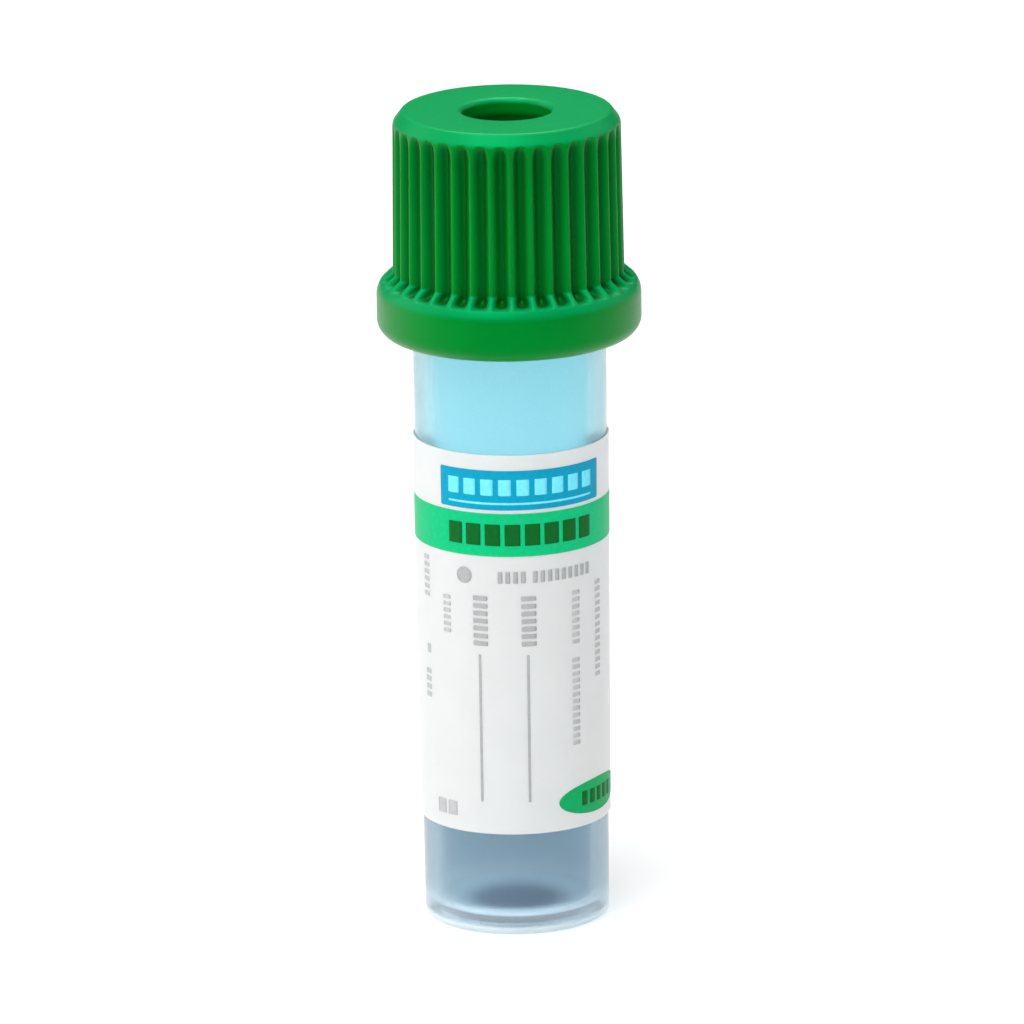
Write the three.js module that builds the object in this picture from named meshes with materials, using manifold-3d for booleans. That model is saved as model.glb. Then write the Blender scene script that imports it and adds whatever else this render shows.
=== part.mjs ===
// Capillary blood collection tube: a moulded plastic tube with a flat base, a label wrapped
// round its front, and a closure made of a fluted plastic cap that carries a rubber stopper.
// Millimetres. +Z runs up the tube's axis, -Y is the front, and the origin is the middle of
// the base, so the tube stands on z = 0.

import * as THREE from 'three';
import { mergeVertices } from 'three/addons/utils/BufferGeometryUtils.js';
import Module from 'manifold-3d';

const wasm = await Module();
wasm.setup();

// ---------------------------------------------------------------- driving dimensions

// The tube is an injection moulding: its core and cavity both open a little towards the mouth.
const TUBE_HEIGHT = 41.5;
const TUBE_BASE_RADIUS = 5.0;
const TUBE_MOUTH_RADIUS = 5.3;
const TUBE_WALL = 0.9;
const TUBE_FLOOR = 0.8;
const TUBE_FLOOR_FILLET = 0.7;
const TUBE_BASE_EDGE_RADIUS = 0.4;
const TUBE_RIM_EDGE_RADIUS = 0.2;
// A shallow recess keeps the gate mark clear of what the tube stands on.
const GATE_RECESS_RADIUS = 3.2;
const GATE_RECESS_DEPTH = 0.3;

// The label is a printed film glued round the front, and leaves the back clear to read through.
const LABEL_BOTTOM = 5.8;
const LABEL_HEIGHT = 21.3;
const LABEL_WRAP_DEG = 210;
const LABEL_THICKNESS = 0.08;
const GLUE_FILM = 0.03;

// The stopper's flange lies on the tube's rim and its plug seals the bore with two beads.
const FLANGE_THICKNESS = 2.1;
const FLANGE_EDGE_RADIUS = 0.25;
const PLUG_LENGTH = 5.5;
const PLUG_RELIEF = 0.2;
const BEAD_COUNT = 2;
const BEAD_HEIGHT = 0.7;
const BEAD_CLEARANCE = 0.04;
const PLUG_TIP_CHAMFER = 0.45;
const PLUG_HOLLOW_RADIUS = 2.4;
const PLUG_HOLLOW_TOP_RADIUS = 1.5;
const PLUG_HOLLOW_DEPTH = 2.8;
const NEEDLE_DIMPLE_RADIUS = 1.9;
const NEEDLE_DIMPLE_DEPTH = 0.6;

// The cap is one moulding: a top wall with a needle hole, a fluted skirt and a base ring.
const CAP_TOP_WALL = 1.3;
const CAP_WALL = 0.7;
const CAP_DRAFT = 0.1;
const CAP_TOP_EDGE_DROP = 0.65;
const CAP_TOP_EDGE_INSET = 0.5;
const CAP_OVERLAP = 8.9;
const NEEDLE_HOLE_RADIUS = 2.4;
const NEEDLE_HOLE_CHAMFER = 0.2;
const POCKET_STEP = 0.35;
const RING_PROJECTION = 0.9;
const RING_WALL_HEIGHT = 1.3;
const RING_LOWER_RADIUS = 0.95;
const SHOULDER_RADIUS = 1.1;
const SHOULDER_SLOPE_DEG = 50;
const MOUTH_LEAD_IN = 0.3;
const FLUTE_COUNT = 36;
const FLUTE_PHASE_DEG = -3.6;
const FLUTE_WIDTH = 0.76;
const FLUTE_DEPTH = 0.3;
const FLUTE_TOP_MARGIN = 0.65;
const FLUTE_TOP_TAPER = 0.9;
const FLUTE_SHOULDER_BITE = 0.6;

// Clearances between the pieces.
const SEAT_CLEARANCE = 0.05;
const POCKET_CLEARANCE = 0.05;
const SKIRT_CLEARANCE = 0.15;
const SKIRT_BORE_DRAFT = 0.05;

// Facets: every turned surface has the same number, so facing facets run parallel.
const TURNED_FACETS = 60;
const ARC_STEPS = 3;
const CUTTER_FACETS = 10;

// ---------------------------------------------------------------- sizes that follow

const closureSeatZ = TUBE_HEIGHT + SEAT_CLEARANCE;
const flangeTopZ = closureSeatZ + FLANGE_THICKNESS;
const pocketTopZ = flangeTopZ + SEAT_CLEARANCE;
const capTopZ = pocketTopZ + CAP_TOP_WALL;
const capBottomZ = TUBE_HEIGHT - CAP_OVERLAP;
const flangeRadius = TUBE_MOUTH_RADIUS - TUBE_RIM_EDGE_RADIUS;
const pocketRadius = flangeRadius + POCKET_CLEARANCE;
const skirtBoreRadius = TUBE_MOUTH_RADIUS + SKIRT_CLEARANCE;
const capTopRadius = skirtBoreRadius + CAP_WALL;
const capSkirtRadius = capTopRadius + CAP_DRAFT;
const ringRadius = capSkirtRadius + RING_PROJECTION;
const ringWallTopZ = capBottomZ + RING_LOWER_RADIUS + RING_WALL_HEIGHT;
const plugTipZ = closureSeatZ - PLUG_LENGTH;

// Outside radius of the tube at a height above its base.
function tubeRadiusAt(z) {
  return THREE.MathUtils.mapLinear(z, 0, TUBE_HEIGHT, TUBE_BASE_RADIUS, TUBE_MOUTH_RADIUS);
}

// Bore radius of the tube at a height above its base.
function boreRadiusAt(z) {
  return tubeRadiusAt(z) - TUBE_WALL;
}

// ---------------------------------------------------------------- shaping helpers

const point = (radius, z) => new THREE.Vector2(radius, z);

// Points of an elliptical arc in the (radius, z) half-plane, from one angle to another.
function arc(centreRadius, centreZ, radiusR, radiusZ, fromDeg, toDeg, steps = ARC_STEPS) {
  const points = [];
  for (let i = 0; i <= steps; i += 1) {
    const angle = THREE.MathUtils.degToRad(fromDeg + ((toDeg - fromDeg) * i) / steps);
    points.push(point(centreRadius + radiusR * Math.cos(angle), centreZ + radiusZ * Math.sin(angle)));
  }
  return points;
}

// A body of revolution about +Z. The profile runs anticlockwise with the axis on its left.
function turned(profile, facets = TURNED_FACETS) {
  return new THREE.LatheGeometry(profile, facets).rotateX(Math.PI / 2);
}

// A closed geometry as a solid: shared corners are merged, and the triangles that closed up
// on the axis are left out.
function toSolid(geometry) {
  const bare = geometry.clone();
  bare.deleteAttribute('normal');
  bare.deleteAttribute('uv');
  const merged = mergeVertices(bare, 1e-4);
  const corners = merged.index.array;
  const triangles = [];
  for (let i = 0; i < corners.length; i += 3) {
    const [a, b, c] = corners.slice(i, i + 3);
    if (a !== b && b !== c && c !== a) triangles.push(a, b, c);
  }
  return new wasm.Manifold(new wasm.Mesh({
    numProp: 3,
    vertProperties: new Float32Array(merged.attributes.position.array),
    triVerts: new Uint32Array(triangles),
  }));
}

function toGeometry(solid) {
  const { numProp, vertProperties, triVerts } = solid.getMesh();
  const positions = new Float32Array((vertProperties.length / numProp) * 3);
  for (let i = 0; i < positions.length / 3; i += 1) {
    positions.set(vertProperties.subarray(i * numProp, i * numProp + 3), i * 3);
  }
  const geometry = new THREE.BufferGeometry();
  geometry.setAttribute('position', new THREE.BufferAttribute(positions, 3));
  geometry.setIndex(new THREE.BufferAttribute(new Uint32Array(triVerts), 1));
  geometry.computeVertexNormals();
  return geometry;
}

function piece(name, geometry, look) {
  const mesh = new THREE.Mesh(geometry, new THREE.MeshStandardMaterial(look));
  mesh.name = name;
  return mesh;
}

// ---------------------------------------------------------------- tube

function tube() {
  const baseEdge = TUBE_BASE_EDGE_RADIUS;
  const rimEdge = TUBE_RIM_EDGE_RADIUS;
  const filletTopZ = TUBE_FLOOR + TUBE_FLOOR_FILLET;
  const rimZ = TUBE_HEIGHT - rimEdge;
  const profile = [
    point(0, GATE_RECESS_DEPTH),
    point(GATE_RECESS_RADIUS - GATE_RECESS_DEPTH, GATE_RECESS_DEPTH),
    point(GATE_RECESS_RADIUS, 0),
    ...arc(tubeRadiusAt(baseEdge) - baseEdge, baseEdge, baseEdge, baseEdge, -90, 0),
    ...arc(TUBE_MOUTH_RADIUS - rimEdge, rimZ, rimEdge, rimEdge, 0, 90),
    ...arc(boreRadiusAt(rimZ) + rimEdge, rimZ, rimEdge, rimEdge, 90, 180),
    ...arc(
      boreRadiusAt(filletTopZ) - TUBE_FLOOR_FILLET, filletTopZ,
      TUBE_FLOOR_FILLET, TUBE_FLOOR_FILLET, 0, -90,
    ),
    point(0, TUBE_FLOOR),
  ];
  return piece('tube', turned(profile), {
    color: 0xb4d2e0, roughness: 0.12, metalness: 0, transparent: true, opacity: 0.45,
  });
}

// ---------------------------------------------------------------- label

// The film follows the tube's taper, so it is a cone-shaped band with its bare sector cut out.
function label() {
  const topZ = LABEL_BOTTOM + LABEL_HEIGHT;
  const innerAt = (z) => tubeRadiusAt(z) + GLUE_FILM;
  const outerAt = (z) => innerAt(z) + LABEL_THICKNESS;
  const band = turned([
    point(innerAt(LABEL_BOTTOM), LABEL_BOTTOM),
    point(outerAt(LABEL_BOTTOM), LABEL_BOTTOM),
    point(outerAt(topZ), topZ),
    point(innerAt(topZ), topZ),
    point(innerAt(LABEL_BOTTOM), LABEL_BOTTOM),
  ]);

  const reach = 2 * outerAt(topZ);
  const bareHalfAngle = THREE.MathUtils.degToRad((360 - LABEL_WRAP_DEG) / 2);
  const sector = new THREE.Shape([new THREE.Vector2(0, 0)]);
  for (const share of [-1, -0.5, 0, 0.5, 1]) {
    const angle = Math.PI / 2 + share * bareHalfAngle;
    sector.lineTo(reach * Math.cos(angle), reach * Math.sin(angle));
  }
  const cutter = new THREE.ExtrudeGeometry(sector, { depth: 2 * LABEL_HEIGHT, bevelEnabled: false });
  cutter.translate(0, 0, LABEL_BOTTOM - LABEL_HEIGHT / 2);

  const film = toSolid(band).subtract(toSolid(cutter));
  return piece('label', toGeometry(film), { color: 0xf2f2f0, roughness: 0.35, metalness: 0 });
}

// ---------------------------------------------------------------- stopper

function stopper() {
  const plugRadiusAt = (z) => boreRadiusAt(z) - PLUG_RELIEF;
  const tipShoulderZ = plugTipZ + PLUG_TIP_CHAMFER;
  const beadPitch = (closureSeatZ - tipShoulderZ) / BEAD_COUNT;
  const beads = [];
  for (let i = 0; i < BEAD_COUNT; i += 1) {
    const z = tipShoulderZ + (i + 0.4) * beadPitch;
    beads.push(...arc(plugRadiusAt(z), z, PLUG_RELIEF - BEAD_CLEARANCE, BEAD_HEIGHT / 2, -90, 90));
  }
  const flangeEdge = FLANGE_EDGE_RADIUS;
  const profile = [
    point(0, plugTipZ + PLUG_HOLLOW_DEPTH),
    point(PLUG_HOLLOW_TOP_RADIUS, plugTipZ + PLUG_HOLLOW_DEPTH),
    point(PLUG_HOLLOW_RADIUS, plugTipZ),
    point(plugRadiusAt(tipShoulderZ) - PLUG_TIP_CHAMFER, plugTipZ),
    point(plugRadiusAt(tipShoulderZ), tipShoulderZ),
    ...beads,
    point(plugRadiusAt(TUBE_HEIGHT), closureSeatZ),
    ...arc(flangeRadius - flangeEdge, closureSeatZ + flangeEdge, flangeEdge, flangeEdge, -90, 0),
    ...arc(flangeRadius - flangeEdge, flangeTopZ - flangeEdge, flangeEdge, flangeEdge, 0, 90),
    ...arc(0, flangeTopZ, NEEDLE_DIMPLE_RADIUS, NEEDLE_DIMPLE_DEPTH, 0, -90),
  ];
  return piece('stopper', turned(profile), { color: 0x0b5a26, roughness: 0.6, metalness: 0 });
}

// ---------------------------------------------------------------- cap

// The cap before its flutes: top wall, stopper pocket, skirt, and a base ring that stands out
// under a sloping shoulder.
function capBlank() {
  const slope = THREE.MathUtils.degToRad(SHOULDER_SLOPE_DEG);
  const slopeFootRadius = ringRadius - SHOULDER_RADIUS * (1 - Math.cos(slope));
  const slopeFootZ = ringWallTopZ + SHOULDER_RADIUS * Math.sin(slope);
  const shoulderTopZ = slopeFootZ + (slopeFootRadius - capSkirtRadius) / Math.tan(slope);
  const topFlatRadius = capTopRadius - CAP_TOP_EDGE_INSET;
  const topEdgeZ = capTopZ - CAP_TOP_EDGE_DROP;
  const mouthBoreRadius = skirtBoreRadius + SKIRT_BORE_DRAFT;
  const firstPoint = point(mouthBoreRadius + MOUTH_LEAD_IN, capBottomZ);
  const profile = [
    firstPoint,
    ...arc(
      ringRadius - RING_LOWER_RADIUS, capBottomZ + RING_LOWER_RADIUS,
      RING_LOWER_RADIUS, RING_LOWER_RADIUS, -90, 0,
    ),
    ...arc(
      ringRadius - SHOULDER_RADIUS, ringWallTopZ,
      SHOULDER_RADIUS, SHOULDER_RADIUS, 0, SHOULDER_SLOPE_DEG,
    ),
    point(capSkirtRadius, shoulderTopZ),
    ...arc(topFlatRadius, topEdgeZ, CAP_TOP_EDGE_INSET, CAP_TOP_EDGE_DROP, 0, 90),
    point(NEEDLE_HOLE_RADIUS + NEEDLE_HOLE_CHAMFER, capTopZ),
    point(NEEDLE_HOLE_RADIUS, capTopZ - NEEDLE_HOLE_CHAMFER),
    point(NEEDLE_HOLE_RADIUS, pocketTopZ),
    point(pocketRadius, pocketTopZ),
    point(pocketRadius, closureSeatZ + POCKET_STEP),
    point(skirtBoreRadius, closureSeatZ),
    point(mouthBoreRadius, capBottomZ + MOUTH_LEAD_IN),
    firstPoint.clone(),
  ];
  return { blank: turned(profile), shoulderTopZ, topEdgeZ };
}

// One flute is cut by a round-nosed bar: it runs out in a long taper under the top edge and
// ends in a round nose just inside the shoulder.
function fluteBar(length, radius) {
  const profile = [
    ...arc(0, radius, radius, radius, -90, 0),
    ...arc(0, length - FLUTE_TOP_TAPER, radius, FLUTE_TOP_TAPER, 0, 90),
  ];
  return turned(profile, CUTTER_FACETS);
}

// The flutes stand round the skirt at even steps and lean with its draft.
function flutes(shoulderTopZ, topEdgeZ) {
  const barRadius = (FLUTE_WIDTH ** 2 / 4 + FLUTE_DEPTH ** 2) / (2 * FLUTE_DEPTH);
  const lean = Math.atan2(CAP_DRAFT, topEdgeZ - shoulderTopZ);
  const footZ = shoulderTopZ - FLUTE_SHOULDER_BITE;
  const footRadius = capSkirtRadius + FLUTE_SHOULDER_BITE * Math.tan(lean) - FLUTE_DEPTH + barRadius;
  const length = (capTopZ - FLUTE_TOP_MARGIN - footZ) / Math.cos(lean);
  const bar = fluteBar(length, barRadius).rotateX(-lean).translate(0, -footRadius, footZ);
  const bars = [];
  for (let i = 0; i < FLUTE_COUNT; i += 1) {
    const turn = THREE.MathUtils.degToRad(FLUTE_PHASE_DEG + (360 * i) / FLUTE_COUNT);
    bars.push(toSolid(bar.clone().rotateZ(turn)));
  }
  return bars;
}

function cap() {
  const { blank, shoulderTopZ, topEdgeZ } = capBlank();
  let moulding = toSolid(blank);
  for (const bar of flutes(shoulderTopZ, topEdgeZ)) {
    moulding = moulding.subtract(bar);
  }
  return piece('cap', toGeometry(moulding), { color: 0x009a4c, roughness: 0.4, metalness: 0 });
}

// ---------------------------------------------------------------- assembly

// The closure is one group, because the cap and the stopper in it come off the tube together.
const closure = new THREE.Group();
closure.add(cap(), stopper());

const bloodCollectionTube = new THREE.Group();
bloodCollectionTube.add(tube(), label(), closure);

export default bloodCollectionTube;
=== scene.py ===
import math

import bpy
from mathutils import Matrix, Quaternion, Vector


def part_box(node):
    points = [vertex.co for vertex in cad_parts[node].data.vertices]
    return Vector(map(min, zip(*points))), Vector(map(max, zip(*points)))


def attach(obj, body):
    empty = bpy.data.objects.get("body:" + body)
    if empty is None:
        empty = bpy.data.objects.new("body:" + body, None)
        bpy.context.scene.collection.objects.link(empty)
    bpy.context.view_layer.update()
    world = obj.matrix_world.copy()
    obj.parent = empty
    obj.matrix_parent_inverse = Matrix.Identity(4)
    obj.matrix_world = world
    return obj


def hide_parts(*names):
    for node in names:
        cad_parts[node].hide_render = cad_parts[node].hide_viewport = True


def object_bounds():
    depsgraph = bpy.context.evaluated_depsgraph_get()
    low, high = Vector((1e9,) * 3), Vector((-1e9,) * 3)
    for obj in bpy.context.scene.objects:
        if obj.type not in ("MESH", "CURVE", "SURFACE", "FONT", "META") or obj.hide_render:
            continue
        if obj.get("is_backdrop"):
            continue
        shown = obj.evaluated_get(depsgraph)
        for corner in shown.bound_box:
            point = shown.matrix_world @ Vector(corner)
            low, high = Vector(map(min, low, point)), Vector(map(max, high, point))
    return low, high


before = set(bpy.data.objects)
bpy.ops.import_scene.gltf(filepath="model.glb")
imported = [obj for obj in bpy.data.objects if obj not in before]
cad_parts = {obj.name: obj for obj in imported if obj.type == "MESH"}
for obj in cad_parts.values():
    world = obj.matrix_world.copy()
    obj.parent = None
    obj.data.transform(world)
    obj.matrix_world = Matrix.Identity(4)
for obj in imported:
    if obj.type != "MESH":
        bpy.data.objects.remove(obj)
cad_low, cad_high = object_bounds()


# ---- Tube
# Injection-moulded polypropylene, natural with a bluish cast: clear enough to read a sample
# through, a little hazy. It stands on a flat base with a shallow recess round the gate mark, and
# its wall opens slightly towards the mouth, as the mould's draft leaves it.
MM = 0.001
_, tube_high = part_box("tube")
tube_top = tube_high.z
tube_mouth_radius = tube_high.x
tube_base_radius = 5.0 * MM
tube_wall = 0.9 * MM
tube_floor = 0.8 * MM
tube_floor_fillet = 0.7 * MM
tube_base_edge = 0.4 * MM
tube_rim_edge = 0.2 * MM
gate_recess_radius = 3.2 * MM
gate_recess_depth = 0.3 * MM
gate_mark_radius = 0.55 * MM
gate_mark_height = 0.12 * MM
gate_mark_slope = 0.1 * MM
# Heights between which the wall's tint fades from grey-blue to pale cyan: the greyer, darker foot
# is painted shade.
painted_shade_fade_low = 6 * MM
painted_shade_fade_high = 26 * MM
# A dark blue disc painted on the floor of the bore, as painted shade: its outer radius and its
# full-strength core.
painted_shade_disc_radius = 3.4 * MM
painted_shade_disc_core = 1.8 * MM


def tube_radius(z):
    """Outside radius of the tube at a height."""
    return tube_base_radius + (tube_mouth_radius - tube_base_radius) * z / tube_top


def bore_radius(z):
    """Bore radius of the tube at a height."""
    return tube_radius(z) - tube_wall


def rounded(corners, closed=False, turn_per_step=math.radians(9)):
    """An outline through (radius, height, fillet) corners, each fillet drawn as a fine arc."""
    points = []
    last = len(corners) - 1
    for i, (radius, height, fillet) in enumerate(corners):
        here = Vector((radius, height))
        if fillet == 0 or (not closed and i in (0, last)):
            points.append(here)
            continue
        back = (Vector(corners[i - 1][:2]) - here).normalized()
        ahead = (Vector(corners[(i + 1) % len(corners)][:2]) - here).normalized()
        half = back.angle(ahead) / 2
        reach = fillet / math.tan(half)
        centre = here + (back + ahead).normalized() * fillet / math.sin(half)
        start = (here + back * reach - centre).normalized()
        end = (here + ahead * reach - centre).normalized()
        steps = max(2, math.ceil((math.pi - 2 * half) / turn_per_step))
        for k in range(steps + 1):
            points.append(centre + start.slerp(end, k / steps) * fillet)
    return points


def turned(name, outline, sides, closed=False, shape=None):
    """A mesh turned about +Z from an outline of (radius, height) points, the axis on its left.
    shape(angle, point) may move a point in or out: it returns the radius there."""
    vertices = []
    rings = []
    for point in outline:
        if point.x < 1e-7:
            rings.append([len(vertices)] * sides)
            vertices.append((0.0, 0.0, point.y))
            continue
        rings.append(list(range(len(vertices), len(vertices) + sides)))
        for k in range(sides):
            angle = math.tau * k / sides
            radius = shape(angle, point) if shape else point.x
            vertices.append((radius * math.sin(angle), -radius * math.cos(angle), point.y))
    faces = []
    pairs = list(zip(rings, rings[1:] + rings[:1])) if closed else list(zip(rings, rings[1:]))
    for lower, upper in pairs:
        for k in range(sides):
            j = (k + 1) % sides
            corners = [lower[k], lower[j], upper[j], upper[k]]
            faces.append([c for n, c in enumerate(corners) if c not in corners[:n]])
    mesh = bpy.data.meshes.new(name)
    mesh.from_pydata(vertices, [], faces)
    mesh.shade_smooth()
    piece = bpy.data.objects.new(name, mesh)
    bpy.context.scene.collection.objects.link(piece)
    return piece


def even_normals(piece):
    """Lets the broad faces set the shading, so that the fine fillets don't drag it."""
    modifier = piece.modifiers.new("even_normals", "WEIGHTED_NORMAL")
    modifier.mode = "FACE_AREA_WITH_ANGLE"
    modifier.weight = 80


def hex_colour(text):
    """An sRGB hex value as a linear colour."""
    channels = [int(text[i : i + 2], 16) / 255 for i in (1, 3, 5)]
    linear = [c / 12.92 if c <= 0.04045 else ((c + 0.055) / 1.055) ** 2.4 for c in channels]
    return (*linear, 1.0)


def new_material(name):
    """An empty node material and its tree."""
    material = bpy.data.materials.new(name)
    material.use_nodes = True
    material.node_tree.nodes.clear()
    return material, material.node_tree


def add(tree, kind, inputs=None, **settings):
    """Adds a node: settings are its own fields, and inputs are values or sockets to link from."""
    node = tree.nodes.new(kind)
    for field, value in settings.items():
        setattr(node, field, value)
    for socket, value in (inputs or {}).items():
        if isinstance(value, bpy.types.NodeSocket):
            tree.links.new(value, node.inputs[socket])
        else:
            node.inputs[socket].default_value = value
    return node


def calculate(tree, operation, *values):
    """The result of one sum: values are numbers or sockets."""
    return add(
        tree, "ShaderNodeMath", dict(enumerate(values)), operation=operation,
    ).outputs["Value"]


def fade(tree, value, start, end, curve="SMOOTHSTEP"):
    """A share that goes from 0 to 1 as a value goes from start to end."""
    return add(tree, "ShaderNodeMapRange", {
        "Value": value, "From Min": start, "From Max": end,
    }, interpolation_type=curve).outputs["Result"]


def spread(tree, share, low, high):
    """A value that goes from low to high as a share goes from 0 to 1."""
    return add(tree, "ShaderNodeMapRange", {
        "Value": share, "To Min": low, "To Max": high,
    }).outputs["Result"]


def blend(tree, share, first, second):
    """A colour that goes from first to second as a share goes from 0 to 1."""
    return add(tree, "ShaderNodeMix", {
        "Factor": share, "A": first, "B": second,
    }, data_type="RGBA").outputs["Result"]


def noise(tree, place, size, detail=2.0, distortion=0.0):
    """Soft random marks, about one size across."""
    return add(tree, "ShaderNodeTexNoise", {
        "Vector": place, "Scale": 1 / size, "Detail": detail, "Distortion": distortion,
    }).outputs["Fac"]


def distance_from_axis(tree, place):
    """How far a place on the surface is from the part's upright axis."""
    flat = add(tree, "ShaderNodeVectorMath", {0: place, 1: (1, 1, 0)}, operation="MULTIPLY")
    return add(tree, "ShaderNodeVectorMath", {
        0: flat.outputs["Vector"],
    }, operation="LENGTH").outputs["Value"]


def finish_material(tree, shader):
    """Joins the last shader to the material's output."""
    add(tree, "ShaderNodeOutputMaterial", {"Surface": shader})


def moulded_polypropylene():
    """Clear moulded polypropylene: glossy and a little hazy, with faint draw streaks that the core
    leaves along the bore and a soft waviness in the wall. Its tint is drawn grey-blue low down and
    pale cyan higher up, and the greyer, darker foot is painted shade. The lowest part of the tube
    is drawn near-white, a painted highlight, and a dark blue disc on the floor of the bore is
    painted shade. The tip of the core and the ring that the tube stands on are drawn blasted, so
    they are cloudy. Lamps shine through to what is inside."""
    material, tree = new_material("moulded_polypropylene_clear")
    place = add(tree, "ShaderNodeTexCoord").outputs["Object"]
    height = add(tree, "ShaderNodeSeparateXYZ", {"Vector": place}).outputs["Z"]
    off_axis = distance_from_axis(tree, place)

    streak_spacing = 0.35 * MM
    streak_length = 14 * MM
    stretched = add(tree, "ShaderNodeMapping", {
        "Vector": place,
        "Scale": (1 / streak_spacing, 1 / streak_spacing, 1 / streak_length),
    })
    streaks = noise(tree, stretched.outputs["Vector"], size=1.0)
    wave_spacing = 3.5 * MM
    waves = noise(tree, place, wave_spacing, detail=1.0)
    bump = add(tree, "ShaderNodeBump", {
        "Height": calculate(tree, "MULTIPLY_ADD", streaks, 0.25, waves),
        "Strength": 0.5,
        "Distance": 0.02 * MM,
    })

    # Painted shade: the wall is drawn greyer and darker towards the foot, pale cyan higher up.
    above_painted_shade = fade(tree, height, painted_shade_fade_low, painted_shade_fade_high)
    painted_shade_wall_tint = blend(tree, above_painted_shade, hex_colour("#a6c0ce"), hex_colour("#bceef8"))
    # Painted highlight: the lowest part of the tube is drawn near-white, fading into the wall's
    # tint above.
    painted_light_foot_fade = 1.2 * MM
    above_painted_light_foot = fade(tree, height, tube_floor, tube_floor + painted_light_foot_fade)
    painted_light_and_shade_tint = blend(tree, above_painted_light_foot, hex_colour("#e6eff4"), painted_shade_wall_tint)

    in_the_bore = calculate(
        tree, "MULTIPLY",
        calculate(tree, "GREATER_THAN", height, (gate_recess_depth + tube_floor) / 2),
        calculate(tree, "LESS_THAN", off_axis, tube_base_radius - tube_wall / 2),
    )
    # Painted shade: a dark blue disc on the floor of the bore.
    painted_disc_shade = calculate(
        tree, "MULTIPLY",
        fade(tree, off_axis, painted_shade_disc_radius, painted_shade_disc_core),
        in_the_bore,
    )
    tint = blend(tree, painted_disc_shade, painted_light_and_shade_tint, hex_colour("#0a527c"))

    core_tip_top = tube_floor + 1.2 * tube_floor_fillet
    cloudy_core = calculate(
        tree, "MULTIPLY", fade(tree, height, core_tip_top, tube_floor), in_the_bore,
    )
    cloudy_ring_top = 0.6 * MM
    cloudy_ring_foot = 0.35 * MM
    cloudy_ring = calculate(
        tree, "MULTIPLY",
        fade(tree, height, cloudy_ring_top, cloudy_ring_foot),
        calculate(tree, "GREATER_THAN", off_axis, gate_recess_radius + 0.05 * MM),
    )
    cloudy = calculate(tree, "MAXIMUM", cloudy_core, cloudy_ring)

    plastic = add(tree, "ShaderNodeBsdfPrincipled", {
        "Base Color": tint,
        "Roughness": spread(tree, streaks, 0.16, 0.26),
        "IOR": 1.49,
        "Transmission Weight": spread(tree, cloudy, 0.9, 0.35),
        "Normal": bump.outputs["Normal"],
    })
    for_lamps = add(tree, "ShaderNodeBsdfTransparent", {"Color": hex_colour("#e6edf0")})
    either = add(tree, "ShaderNodeMixShader", {
        0: add(tree, "ShaderNodeLightPath").outputs["Is Shadow Ray"],
        1: plastic.outputs["BSDF"],
        2: for_lamps.outputs["BSDF"],
    })
    finish_material(tree, either.outputs["Shader"])
    return material


tube_outline = rounded([
    (0, gate_recess_depth - gate_mark_height, 0),
    (gate_mark_radius, gate_recess_depth - gate_mark_height, 0.05 * MM),
    (gate_mark_radius + gate_mark_slope, gate_recess_depth, 0.08 * MM),
    (gate_recess_radius - gate_recess_depth, gate_recess_depth, 0.15 * MM),
    (gate_recess_radius, 0, 0.12 * MM),
    (tube_base_radius, 0, tube_base_edge),
    (tube_mouth_radius, tube_top, tube_rim_edge),
    (bore_radius(tube_top), tube_top, tube_rim_edge),
    (bore_radius(tube_floor), tube_floor, tube_floor_fillet),
    (0, tube_floor, 0),
])
tube = turned("clear_tube", tube_outline, sides=192)
even_normals(tube)
tube.data.materials.append(moulded_polypropylene())
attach(tube, "tube_body")
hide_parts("tube")


# ---- Label
# A die-cut polypropylene film, white and satin, glued round the front of the tube. Its corners
# are rounded by the die, and the back of the tube is left bare to read the sample through.
label_low, label_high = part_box("label")
label_wrap = math.radians(210)
label_corner = 1.0 * MM
label_film = 0.08 * MM
glue_film = 0.03 * MM
column_width = math.radians(2)


def wrapped(name, sheets, lift, thickness, material):
    """Thin sheets that lie on the tube, as one piece: each is a list of rows, bottom to top, of
    (height, from angle, to angle), and lift is the gap between its underside and the plastic."""
    vertices = []
    faces = []
    for rows in sheets:
        widest = max(end - start for _, start, end in rows)
        columns = max(1, math.ceil(widest / column_width))
        first = len(vertices)
        for z, start, end in rows:
            radius = tube_radius(z) + lift
            for k in range(columns + 1):
                angle = start + (end - start) * k / columns
                vertices.append((radius * math.sin(angle), -radius * math.cos(angle), z))
        across = columns + 1
        for i in range(len(rows) - 1):
            for k in range(columns):
                a = first + i * across + k
                faces.append((a, a + 1, a + across + 1, a + across))
    mesh = bpy.data.meshes.new(name)
    mesh.from_pydata(vertices, [], faces)
    mesh.shade_smooth()
    piece = bpy.data.objects.new(name, mesh)
    bpy.context.scene.collection.objects.link(piece)
    film = piece.modifiers.new("film", "SOLIDIFY")
    film.thickness = thickness
    film.offset = 1.0
    even_normals(piece)
    piece.data.materials.append(material)
    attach(piece, "tube_body")
    return piece


def rounded_rows(low, high, half_width, corner, centre=0.0, steps=8):
    """Rows of a sheet with round corners: heights, and angles about a middle angle."""
    rows = []
    for k in range(steps + 1):
        turn = math.pi / 2 * k / steps
        rows.append((corner * (1 - math.cos(turn)), corner * (1 - math.sin(turn))))
    bottom = [(low + rise, half_width - inset / label_high.x) for rise, inset in rows]
    top = [(high - rise, half_width - inset / label_high.x) for rise, inset in reversed(rows)]
    return [(z, centre - half, centre + half) for z, half in bottom + top]


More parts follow.
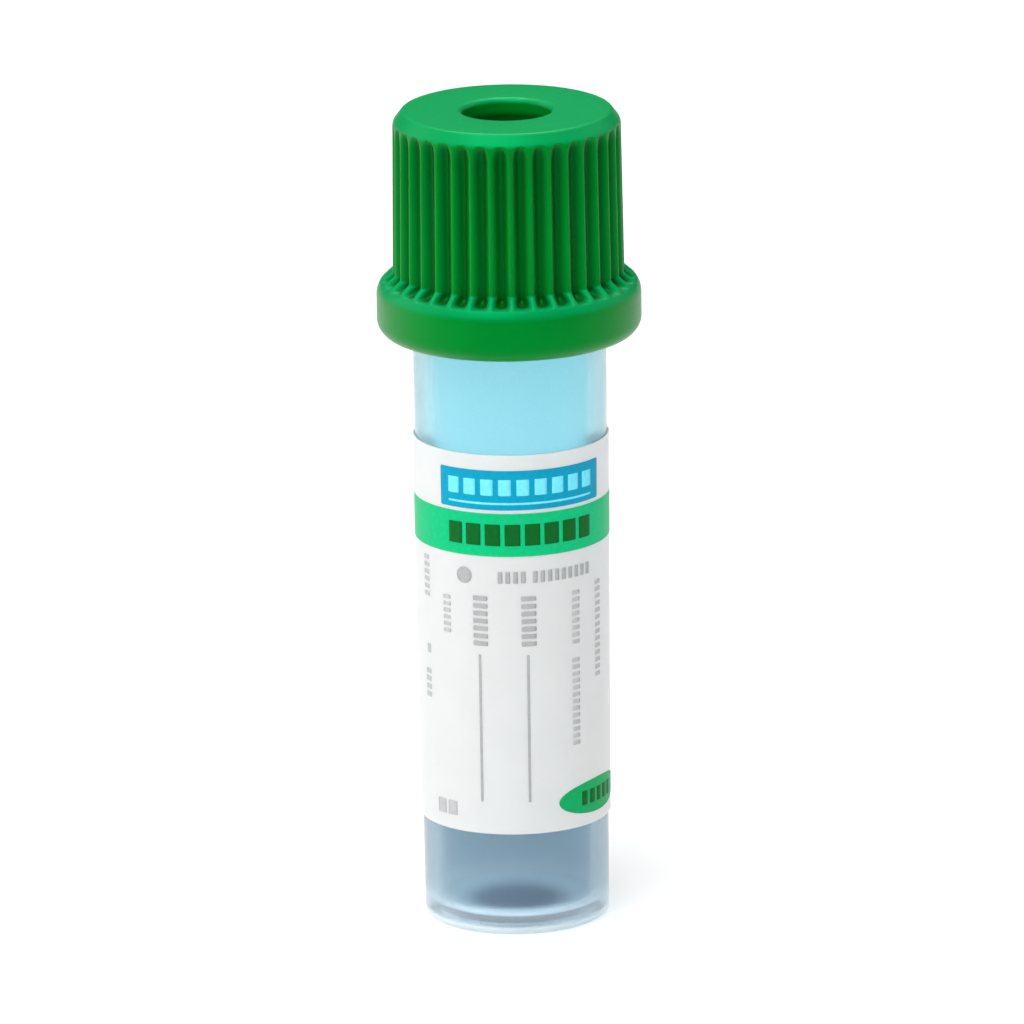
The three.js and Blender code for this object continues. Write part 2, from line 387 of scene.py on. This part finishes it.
def printed_film():
    """White polypropylene label film: satin, with a very fine grain in its top coat and a soft
    unevenness where the glue lies under it. Some light goes through it."""
    material, tree = new_material("label_film_white_satin")
    place = add(tree, "ShaderNodeTexCoord").outputs["Object"]
    grain_size = 0.12 * MM
    grain = noise(tree, place, grain_size, detail=3.0)
    glue_size = 2.2 * MM
    glue = noise(tree, place, glue_size)
    bump = add(tree, "ShaderNodeBump", {
        "Height": calculate(tree, "MULTIPLY_ADD", grain, 0.12, glue),
        "Strength": 0.4,
        "Distance": 0.015 * MM,
    })
    film = add(tree, "ShaderNodeBsdfPrincipled", {
        "Base Color": blend(tree, glue, hex_colour("#dededc"), hex_colour("#e6e6e4")),
        "Roughness": spread(tree, grain, 0.3, 0.42),
        "Subsurface Weight": 0.6,
        "Subsurface Radius": (1.0, 1.0, 1.0),
        "Subsurface Scale": 0.5 * MM,
        "Normal": bump.outputs["Normal"],
    })
    finish_material(tree, film.outputs["BSDF"])
    return material


label = wrapped(
    "label_film",
    [rounded_rows(label_low.z, label_high.z, label_wrap / 2, label_corner)],
    glue_film, label_film, printed_film(),
)
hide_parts("label")


# ---- Label print
# Flexographic ink on the film: a blue field, a green band right across, a green oval low on the
# right, two write-on lines and small grey print. All wording is left out: plain blocks and ticks
# stand in its place. Heights are in millimetres up the tube, and angles in degrees round it.
ink_film = 0.012 * MM
ink_gap = 0.001 * MM
ink_lift = glue_film + label_film + ink_gap
overprint_lift = ink_lift + ink_film + ink_gap
print_corner = 0.05
band_corner = 0.01
field_corner = 0.1
band_half_angle = 104.8


def printed_ink(name, colour, roughness=0.4):
    """Flexographic ink on film: an even colour with the slight mottle that the plate leaves."""
    material, tree = new_material(name)
    place = add(tree, "ShaderNodeTexCoord").outputs["Object"]
    mottle_size = 0.25 * MM
    mottle = noise(tree, place, mottle_size, detail=4.0)
    full = hex_colour(colour)
    thin = tuple(min(1.0, c * 1.15) for c in full[:3]) + (1.0,)
    ink = add(tree, "ShaderNodeBsdfPrincipled", {
        "Base Color": blend(tree, fade(tree, mottle, 0.35, 0.75, curve="LINEAR"), full, thin),
        "Roughness": spread(tree, mottle, roughness - 0.05, roughness + 0.08),
        "Specular IOR Level": 0.1,
    })
    finish_material(tree, ink.outputs["BSDF"])
    return material


def patch(low, high, start_deg, end_deg, corner=print_corner):
    """Rows of one printed patch."""
    half = math.radians(end_deg - start_deg) / 2
    centre = math.radians(start_deg + end_deg) / 2
    return rounded_rows(low * MM, high * MM, half, corner * MM, centre, steps=3)


def oval(z, half_height, centre_deg, half_width_deg, steps=18):
    """Rows of one printed oval."""
    rows = []
    for k in range(steps + 1):
        turn = math.pi * (0.01 + 0.98 * k / steps)
        half = math.radians(half_width_deg) * math.sin(turn)
        centre = math.radians(centre_deg)
        rows.append(((z - half_height * math.cos(turn)) * MM, centre - half, centre + half))
    return rows


def ticks(start, end, length, gap):
    """Even marks between two ends, as (from, to)."""
    count = round((end - start + gap) / (length + gap))
    pitch = (end - start + gap) / count
    return [(start + k * pitch, start + (k + 1) * pitch - gap) for k in range(count)]


def line_of_print(low, high, marks):
    """Marks that follow one another round the tube."""
    return [patch(low, high, start_deg, end_deg) for start_deg, end_deg in marks]


def column_of_print(start_deg, end_deg, marks):
    """Marks that follow one another up the tube."""
    return [patch(low, high, start_deg, end_deg) for low, high in marks]


def ink(name, patches, material, lift=ink_lift):
    """One colour of print, as one piece."""
    return wrapped(name, patches, lift, ink_film, material)


blue_field = patch(24.05, 26.25, -46, 60, field_corner)
ink("ink_blue_field", [blue_field], printed_ink("flexo_ink_blue", "#0092b4"))

green_band = patch(21.45, 23.85, -band_half_angle, band_half_angle, band_corner)
ink("ink_green_band", [green_band], printed_ink("flexo_ink_green", "#00b474"))

green_oval = oval(7.35, 0.95, 60, 33)
ink("ink_green_oval", [green_oval], printed_ink("flexo_ink_deep_green", "#009f5a"))

field_blocks = line_of_print(24.85, 25.75, ticks(-40, 53, 7.6, 3.2))
field_blocks.append(patch(24.35, 24.47, -40, 53))
pale_blue = printed_ink("flexo_ink_pale_blue", "#6fd8f0")
ink("ink_field_blocks", field_blocks, pale_blue, overprint_lift)

band_blocks = line_of_print(22.05, 23.25, ticks(-40, 52, 9.2, 2.6))
band_blocks += line_of_print(6.95, 7.75, ticks(44, 77, 5, 2.5))
dark_green = printed_ink("flexo_ink_dark_green", "#005c1e")
ink("ink_band_blocks", band_blocks, dark_green, overprint_lift)

write_lines = [patch(7.6, 15.9, -21.4, -19.8), patch(7.6, 15.9, 7.7, 9.3)]
grey_print = list(write_lines)
for middle_deg in (-20.6, 8.5):
    marks = ticks(16.4, 19.2, 0.26, 0.16)
    grey_print += column_of_print(middle_deg - 3.8, middle_deg + 5.2, marks)
grey_print.append(oval(20.3, 0.46, -30, 5.0))
for start_deg, end_deg in ((-9, 7.5), (12, 51)):
    grey_print += line_of_print(19.95, 20.6, ticks(start_deg, end_deg, 2.6, 1.8))
ink("ink_grey_print", grey_print, printed_ink("flexo_ink_grey", "#a2a4a5"))

fine_print = line_of_print(6.6, 7.4, ((-54, -47), (-45, -38)))
fine_print.append(patch(15.4, 15.9, -63, -59))
for middle_deg, low, high in (
    (40, 10.5, 15.4),
    (40, 16.2, 19.2),
    (60, 14.0, 19.4),
    (-43, 16.9, 19.0),
    (-62, 12.9, 14.5),
    (-62, 18.6, 20.9),
):
    marks = ticks(low, high, 0.24, 0.16)
    fine_print += column_of_print(middle_deg - 2.8, middle_deg + 2.8, marks)
ink("ink_fine_print", fine_print, printed_ink("flexo_ink_light_grey", "#b2b4b5"))


# ---- Stopper
# Moulded bromobutyl rubber, dark green. Its flange lies on the tube's rim, its hollow plug fills
# the mouth with two sealing beads, and a shallow dimple on top marks where the needle goes in.
stopper_low, stopper_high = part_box("stopper")
flange_radius = stopper_high.x
flange_top = stopper_high.z
flange_thickness = 2.1 * MM
flange_bottom = flange_top - flange_thickness
plug_tip = stopper_low.z
plug_relief = 0.2 * MM
bead_height = 0.7 * MM
bead_clearance = 0.04 * MM
plug_tip_chamfer = 0.45 * MM
plug_hollow_radius = 2.4 * MM
plug_hollow_top_radius = 1.5 * MM
plug_hollow_depth = 2.8 * MM
dimple_radius = 1.9 * MM
dimple_depth = 0.6 * MM


def plug_radius(z):
    """Radius of the plug between its beads."""
    return bore_radius(z) - plug_relief


def bead(z):
    """Corners of one sealing bead round the plug at a height."""
    crest = bore_radius(z) - bead_clearance
    return [
        (plug_radius(z), z - bead_height / 2, 0.1 * MM),
        (crest, z - bead_height / 7, 0.15 * MM),
        (crest, z + bead_height / 7, 0.15 * MM),
        (plug_radius(z), z + bead_height / 2, 0.1 * MM),
    ]


def moulded_rubber():
    """Bromobutyl rubber as moulded: matt, with a fine sandy skin and a thin silicone bloom."""
    material, tree = new_material("bromobutyl_rubber_green")
    place = add(tree, "ShaderNodeTexCoord").outputs["Object"]
    skin_size = 0.14 * MM
    bump = add(tree, "ShaderNodeBump", {
        "Height": noise(tree, place, skin_size, detail=4.0),
        "Strength": 0.5,
        "Distance": 0.02 * MM,
    })
    bloom_size = 1.6 * MM
    bloom = noise(tree, place, bloom_size, detail=3.0)
    rubber = add(tree, "ShaderNodeBsdfPrincipled", {
        "Base Color": blend(tree, bloom, hex_colour("#023d0c"), hex_colour("#055218")),
        "Roughness": spread(tree, bloom, 0.5, 0.7),
        "Specular IOR Level": 0.2,
        "Normal": bump.outputs["Normal"],
    })
    finish_material(tree, rubber.outputs["BSDF"])
    return material


plug_shoulder = plug_tip + plug_tip_chamfer
bead_pitch = (flange_bottom - plug_shoulder) / 2
stopper_outline = rounded([
    (0, plug_tip + plug_hollow_depth, 0),
    (plug_hollow_top_radius, plug_tip + plug_hollow_depth, 0.4 * MM),
    (plug_hollow_radius, plug_tip, 0.2 * MM),
    (plug_radius(plug_shoulder) - plug_tip_chamfer, plug_tip, 0.15 * MM),
    (plug_radius(plug_shoulder), plug_shoulder, 0.2 * MM),
    *bead(plug_shoulder + 0.4 * bead_pitch),
    *bead(plug_shoulder + 1.4 * bead_pitch),
    (plug_radius(flange_bottom), flange_bottom, 0.1 * MM),
    (flange_radius, flange_bottom, 0.25 * MM),
    (flange_radius, flange_top, 0.25 * MM),
    (dimple_radius, flange_top, 0.2 * MM),
    (0.6 * dimple_radius, flange_top - 0.85 * dimple_depth, 1.2 * MM),
    (0, flange_top - dimple_depth, 0),
])
stopper = turned("rubber_stopper", stopper_outline, sides=144)
even_normals(stopper)
stopper.data.materials.append(moulded_rubber())
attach(stopper, "closure")
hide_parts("stopper")


# ---- Cap
# Injection-moulded polyethylene, opaque green. A top wall with a needle hole, a skirt with
# flutes for the fingers, and a base ring that stands out under a sloping shoulder. Each flute
# runs out in a taper under the top edge and ends in a short ramp in the shoulder.
cap_low, cap_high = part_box("cap")
cap_top = cap_high.z
cap_bottom = cap_low.z
ring_radius = cap_high.x
skirt_radius = ring_radius - 0.9 * MM
skirt_top_radius = skirt_radius - 0.1 * MM
skirt_bore = skirt_top_radius - 0.7 * MM
pocket_radius = flange_radius + 0.05 * MM
pocket_top = flange_top + 0.05 * MM
pocket_foot = flange_bottom + 0.35 * MM
mouth_bore = skirt_bore + 0.05 * MM
mouth_lead_in = 0.3 * MM
needle_hole_radius = 2.4 * MM
top_edge_drop = 0.65 * MM
top_edge_inset = 0.5 * MM
ring_lower_radius = 0.95 * MM
ring_wall_top = cap_bottom + 2.25 * MM
shoulder_radius = 1.1 * MM
shoulder_slope = math.radians(50)

flute_count = 36
flute_phase = math.radians(-3.6)
flute_half_width = 0.53 * MM
flute_depth = 0.38 * MM
flute_top = cap_top - 0.65 * MM
flute_taper = 0.95 * MM
flute_ramp = 0.45 * MM
flute_bite = 0.6 * MM
flute_end_width = 0.4
flute_roundness = 0.8

slope_foot_radius = ring_radius - shoulder_radius * (1 - math.cos(shoulder_slope))
slope_foot = ring_wall_top + shoulder_radius * math.sin(shoulder_slope)
shoulder_top = slope_foot + (slope_foot_radius - skirt_radius) / math.tan(shoulder_slope)
flute_foot = shoulder_top - flute_bite
fluted_from = skirt_top_radius - 0.6 * MM


def skirt_line(z):
    """Radius of the skirt between its flutes, with the mould's draft."""
    share = (z - shoulder_top) / (cap_top - top_edge_drop - shoulder_top)
    return skirt_radius + (skirt_top_radius - skirt_radius) * share


def fluted(angle, point):
    """Radius of the cap's outside at an angle, with its flutes cut in: round ribs with hollows
    between them that flatten out towards the top and stop short in the shoulder."""
    radius, z = point
    if radius < fluted_from or not flute_foot < z < flute_top:
        return radius
    pitch = math.tau / flute_count
    off = (angle - flute_phase + pitch / 2) % pitch - pitch / 2
    into_taper = max(0.0, (z - flute_top + flute_taper) / flute_taper)
    share_left = math.sqrt(1 - into_taper**2)
    half_width = flute_half_width * (flute_end_width + (1 - flute_end_width) * share_left)
    across = min(1.0, abs(off) * radius / half_width)
    up_ramp = min(1.0, (z - flute_foot) / flute_ramp)
    ramp = math.sqrt(1 - (1 - up_ramp) ** 2)
    floor_line = skirt_line(z) - flute_depth * share_left
    hollow = (0.5 + 0.5 * math.cos(math.pi * across)) ** flute_roundness * ramp
    return radius - max(0.0, radius - floor_line) * hollow


def with_rows(outline, step):
    """The outline with points added along its straight stretches, step(point) apart at most."""
    points = []
    for here, ahead in zip(outline, outline[1:] + outline[:1]):
        reach = (ahead - here).length
        along = 0.0
        while along < reach:
            points.append(here.lerp(ahead, along / reach))
            along += step(points[-1])
    return points


def cap_step(point):
    """Row spacing on the cap: fine where the flutes start and end, coarse elsewhere."""
    if point.x < fluted_from or point.y < flute_foot - 0.1 * MM:
        return 2 * MM
    if point.y < shoulder_top + 0.2 * MM:
        return 0.04 * MM
    if point.y < flute_top - flute_taper:
        return 0.6 * MM
    return 0.07 * MM


def moulded_polyethylene():
    """Green polyethylene as moulded: satin, a little light goes into it, with the fine grain of
    a spark-eroded mould and faint flow marks. Faces that look up are drawn a little paler, a
    painted highlight, and the hollows between the ribs are drawn darker, painted shade. That is a
    choice of look, not a known feature of the plastic. The grain is drawn coarser than real, so
    that it shows."""
    material, tree = new_material("moulded_polyethylene_green")
    place = add(tree, "ShaderNodeTexCoord").outputs["Object"]
    grain_size = 0.16 * MM
    grain = noise(tree, place, grain_size, detail=3.0)
    bump = add(tree, "ShaderNodeBump", {
        "Height": grain, "Strength": 0.35, "Distance": 0.01 * MM,
    })
    flow_size = 4 * MM
    flow = noise(tree, place, flow_size, distortion=0.6)
    bare = blend(tree, flow, hex_colour("#006e1a"), hex_colour("#007c22"))

    # Painted highlight: faces that look up are drawn paler green.
    facing = add(tree, "ShaderNodeSeparateXYZ", {
        "Vector": add(tree, "ShaderNodeTexCoord").outputs["Normal"],
    })
    painted_top_light = fade(tree, facing.outputs["Z"], 0.05, 0.4)
    outside = blend(tree, painted_top_light, bare, hex_colour("#008446"))

    # Painted shade: the hollows between the ribs are drawn darker green, by how deep the surface
    # lies inside the uncut skirt line.
    height = add(tree, "ShaderNodeSeparateXYZ", {"Vector": place}).outputs["Z"]
    uncut_radius = add(tree, "ShaderNodeMapRange", {
        "Value": height, "From Min": slope_foot, "From Max": shoulder_top,
        "To Min": slope_foot_radius, "To Max": skirt_radius,
    })
    cut_depth = calculate(
        tree, "SUBTRACT", uncut_radius.outputs["Result"], distance_from_axis(tree, place),
    )
    painted_shade_by_depth = fade(tree, cut_depth, 0.06 * MM, flute_depth, curve="LINEAR")
    beside_ribs = calculate(
        tree, "MULTIPLY",
        fade(tree, height, flute_top, flute_top - 0.3 * MM, curve="LINEAR"),
        calculate(tree, "GREATER_THAN", height, flute_foot),
    )
    hollow = calculate(tree, "MULTIPLY", painted_shade_by_depth, beside_ribs)

    plastic = add(tree, "ShaderNodeBsdfPrincipled", {
        "Base Color": blend(tree, hollow, outside, hex_colour("#004806")),
        "Roughness": spread(tree, grain, 0.3, 0.44),
        "IOR": 1.5,
        "Specular IOR Level": 0.42,
        "Specular Tint": hex_colour("#10ff90"),
        "Subsurface Weight": 0.15,
        "Subsurface Radius": (0.1, 1.0, 0.3),
        "Subsurface Scale": 0.3 * MM,
        "Normal": bump.outputs["Normal"],
    })
    finish_material(tree, plastic.outputs["BSDF"])
    return material


cap_outline = with_rows(rounded([
    (mouth_bore + mouth_lead_in, cap_bottom, 0.1 * MM),
    (ring_radius, cap_bottom, ring_lower_radius),
    (ring_radius, ring_wall_top + shoulder_radius * math.tan(shoulder_slope / 2), shoulder_radius),
    (skirt_radius, shoulder_top, 0.2 * MM),
    (skirt_top_radius, cap_top - top_edge_drop, 0.5 * MM),
    (skirt_top_radius - top_edge_inset, cap_top, 0.25 * MM),
    (needle_hole_radius, cap_top, 0.32 * MM),
    (needle_hole_radius, pocket_top, 0.1 * MM),
    (pocket_radius, pocket_top, 0.1 * MM),
    (pocket_radius, pocket_foot, 0.1 * MM),
    (skirt_bore, flange_bottom, 0.1 * MM),
    (mouth_bore, cap_bottom + mouth_lead_in, 0.1 * MM),
], closed=True), cap_step)
cap = turned("green_cap", cap_outline, sides=20 * flute_count, closed=True, shape=fluted)
cap.data.materials.append(moulded_polyethylene())
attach(cap, "closure")
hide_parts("cap")


# ---- Bench
# A plain pale sheet under the tube, matt and almost white. It lies a hair below the foot, so that
# the two faces never coincide.
bench_size = 2.4
bench_gap = 0.02 * MM


def matt_sheet():
    """Matt off-white laminate with a barely visible tone."""
    material, tree = new_material("bench_laminate_pale")
    place = add(tree, "ShaderNodeTexCoord").outputs["Object"]
    tone_size = 0.12
    tone = noise(tree, place, tone_size)
    sheet = add(tree, "ShaderNodeBsdfPrincipled", {
        "Base Color": blend(tree, tone, hex_colour("#dcdcdc"), hex_colour("#e0e0e0")),
        "Roughness": 0.6,
    })
    finish_material(tree, sheet.outputs["BSDF"])
    return material


bench_reach = bench_size / 2
bench_corners = [
    (-bench_reach, -bench_reach, 0),
    (bench_reach, -bench_reach, 0),
    (bench_reach, bench_reach, 0),
    (-bench_reach, bench_reach, 0),
]
bench_mesh = bpy.data.meshes.new("bench")
bench_mesh.from_pydata(bench_corners, [], [(0, 1, 2, 3)])
bench = bpy.data.objects.new("bench", bench_mesh)
bpy.context.scene.collection.objects.link(bench)
bench.location.z = -bench_gap
bench.data.materials.append(matt_sheet())
bench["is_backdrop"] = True


# ---- Light
# A white studio, dim at the horizon and bright overhead, so that the cap's flat top mirrors no
# glare. A big soft lamp stands high in front, a smaller one on the front left, a panel on each
# side fills in, and one over the bench behind lights it to white.
surround = bpy.data.worlds.new("white_studio")
surround.use_nodes = True
sky = surround.node_tree
sky.nodes.clear()
sky_direction = add(sky, "ShaderNodeSeparateXYZ", {
    "Vector": add(sky, "ShaderNodeTexCoord").outputs["Generated"],
})
sky_brightness = add(sky, "ShaderNodeMapRange", {
    "Value": sky_direction.outputs["Z"],
    "From Min": 0.4, "From Max": 0.95,
    "To Min": 0.04, "To Max": 1.2,
})
backdrop = add(sky, "ShaderNodeBackground", {
    "Color": hex_colour("#ffffff"), "Strength": sky_brightness.outputs["Result"],
})
add(sky, "ShaderNodeOutputWorld", {"Surface": backdrop.outputs["Background"]})
bpy.context.scene.world = surround
bpy.context.scene.view_settings.view_transform = "Standard"

middle = (cad_low + cad_high) / 2


def softbox(name, place, size, power, aim=(0, 0, 0)):
    """A rectangular area light: place and aim are measured from the middle of the object."""
    lamp = bpy.data.lights.new(name, "AREA")
    lamp.shape = "RECTANGLE"
    lamp.size, lamp.size_y = size
    lamp.energy = power
    holder = bpy.data.objects.new(name, lamp)
    holder.location = middle + Vector(place)
    holder.rotation_mode = "QUATERNION"
    holder.rotation_quaternion = (Vector(aim) - Vector(place)).to_track_quat("-Z", "Y")
    bpy.context.scene.collection.objects.link(holder)


softbox("left_panel", (-0.3, 0.02, 0.05), (0.36, 0.36), 0.44)
softbox("right_panel", (0.3, 0.04, 0.05), (0.36, 0.36), 0.2)
softbox("top_light", (-0.07, -0.17, 0.4), (0.34, 0.34), 1.7)
softbox("front_light", (-0.14, -0.34, 0.22), (0.3, 0.16), 0.45)
softbox("backdrop_light", (0, 0.35, 0.7), (0.5, 0.3), 3.0, aim=(0, 0.35, 0))


# ---- Camera
# A long lens from the front, a little above, as a product is photographed.
camera_distance = 0.75
camera_elevation = math.radians(15.5)
camera_roll = math.radians(0.8)
framed_height = 0.0555

camera_data = bpy.data.cameras.new("camera")
camera_data.lens = camera_data.sensor_width * camera_distance / framed_height
camera_data.clip_start = 0.05
camera_data.clip_end = 10
camera = bpy.data.objects.new("camera", camera_data)
towards = Vector((0, -math.cos(camera_elevation), math.sin(camera_elevation)))
camera.location = middle + towards * camera_distance
camera.rotation_mode = "QUATERNION"
level = (-towards).to_track_quat("-Z", "Y")
camera.rotation_quaternion = level @ Quaternion((0, 0, 1), -camera_roll)
bpy.context.scene.collection.objects.link(camera)
bpy.context.scene.camera = camera

low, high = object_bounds()
